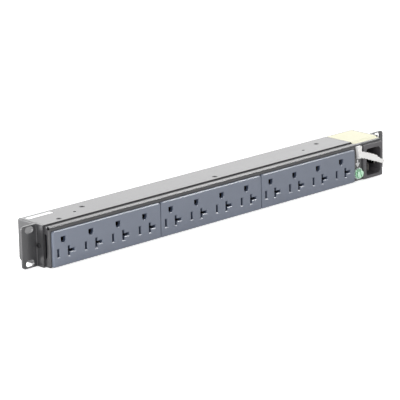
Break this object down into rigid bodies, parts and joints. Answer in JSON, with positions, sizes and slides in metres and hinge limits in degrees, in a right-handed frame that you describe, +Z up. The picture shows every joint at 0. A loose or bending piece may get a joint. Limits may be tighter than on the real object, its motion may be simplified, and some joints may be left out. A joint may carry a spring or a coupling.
{
  "type": "rack power distribution unit",
  "caption": "Horizontal one-unit rack power strip with socket modules along its front and an appliance inlet at its right end.",
  "frame": {"origin": "on the bottom face, midway between the ears, in the plane of the rack rails, which is the rear face of both ears", "axes": "+X along the unit towards the appliance inlet, +Y back into the rack, +Z up; the sockets face -Y"},
  "size_m": [0.4826, 0.0474, 0.0404],
  "materials": {
    "black_steel": "satin",
    "zinc_steel": "satin",
    "black_screws": "satin",
    "slate_plastic": "matte",
    "black_plastic": "matte",
    "inlet_plastic": "matte",
    "contact_brass": "bright",
    "plated_brass": "bright",
    "black_wire": "gloss",
    "white_wire": "gloss",
    "green_wire": "gloss",
    "sleeve_nylon": "satin",
    "green_screw": "satin",
    "white_nylon": "satin",
    "yellow_label": "matte",
    "white_label": "satin"
  },
  "bodies": {
    "root": {"bonding_link": "contact_brass", "caution_label": "yellow_label", "chassis": "black_steel", "cover_screws": "black_screws", "ear_screws": "black_screws", "earth_contact_strip": "contact_brass", "earth_inlet_blade": "plated_brass", "earth_lead": "green_wire", "earth_lead_sleeves": "sleeve_nylon", "earth_nut": "zinc_steel", "earth_screw": "green_screw", "foot_screws": "black_screws", "inlet_housing": "inlet_plastic", "left_cover_stay": "zinc_steel", "left_ear_bracket": "black_steel", "live_contact_strip": "contact_brass", "live_inlet_blade": "plated_brass", "live_lead": "black_wire", "live_lead_sleeves": "sleeve_nylon", "module_base_1": "black_plastic", "module_base_2": "black_plastic", "module_base_3": "black_plastic", "module_screws": "zinc_steel", "name_label": "white_label", "neutral_contact_strip": "contact_brass", "neutral_inlet_blade": "plated_brass", "neutral_lead": "white_wire", "neutral_lead_sleeves": "sleeve_nylon", "rear_cover": "black_steel", "retention_strap": "white_nylon", "right_cover_stay": "zinc_steel", "right_ear_bracket": "black_steel", "socket_panel_1": "slate_plastic", "socket_panel_2": "slate_plastic", "socket_panel_3": "slate_plastic", "stay_screws": "black_screws", "toothed_washer": "zinc_steel"}
  },
  "joints": []
}
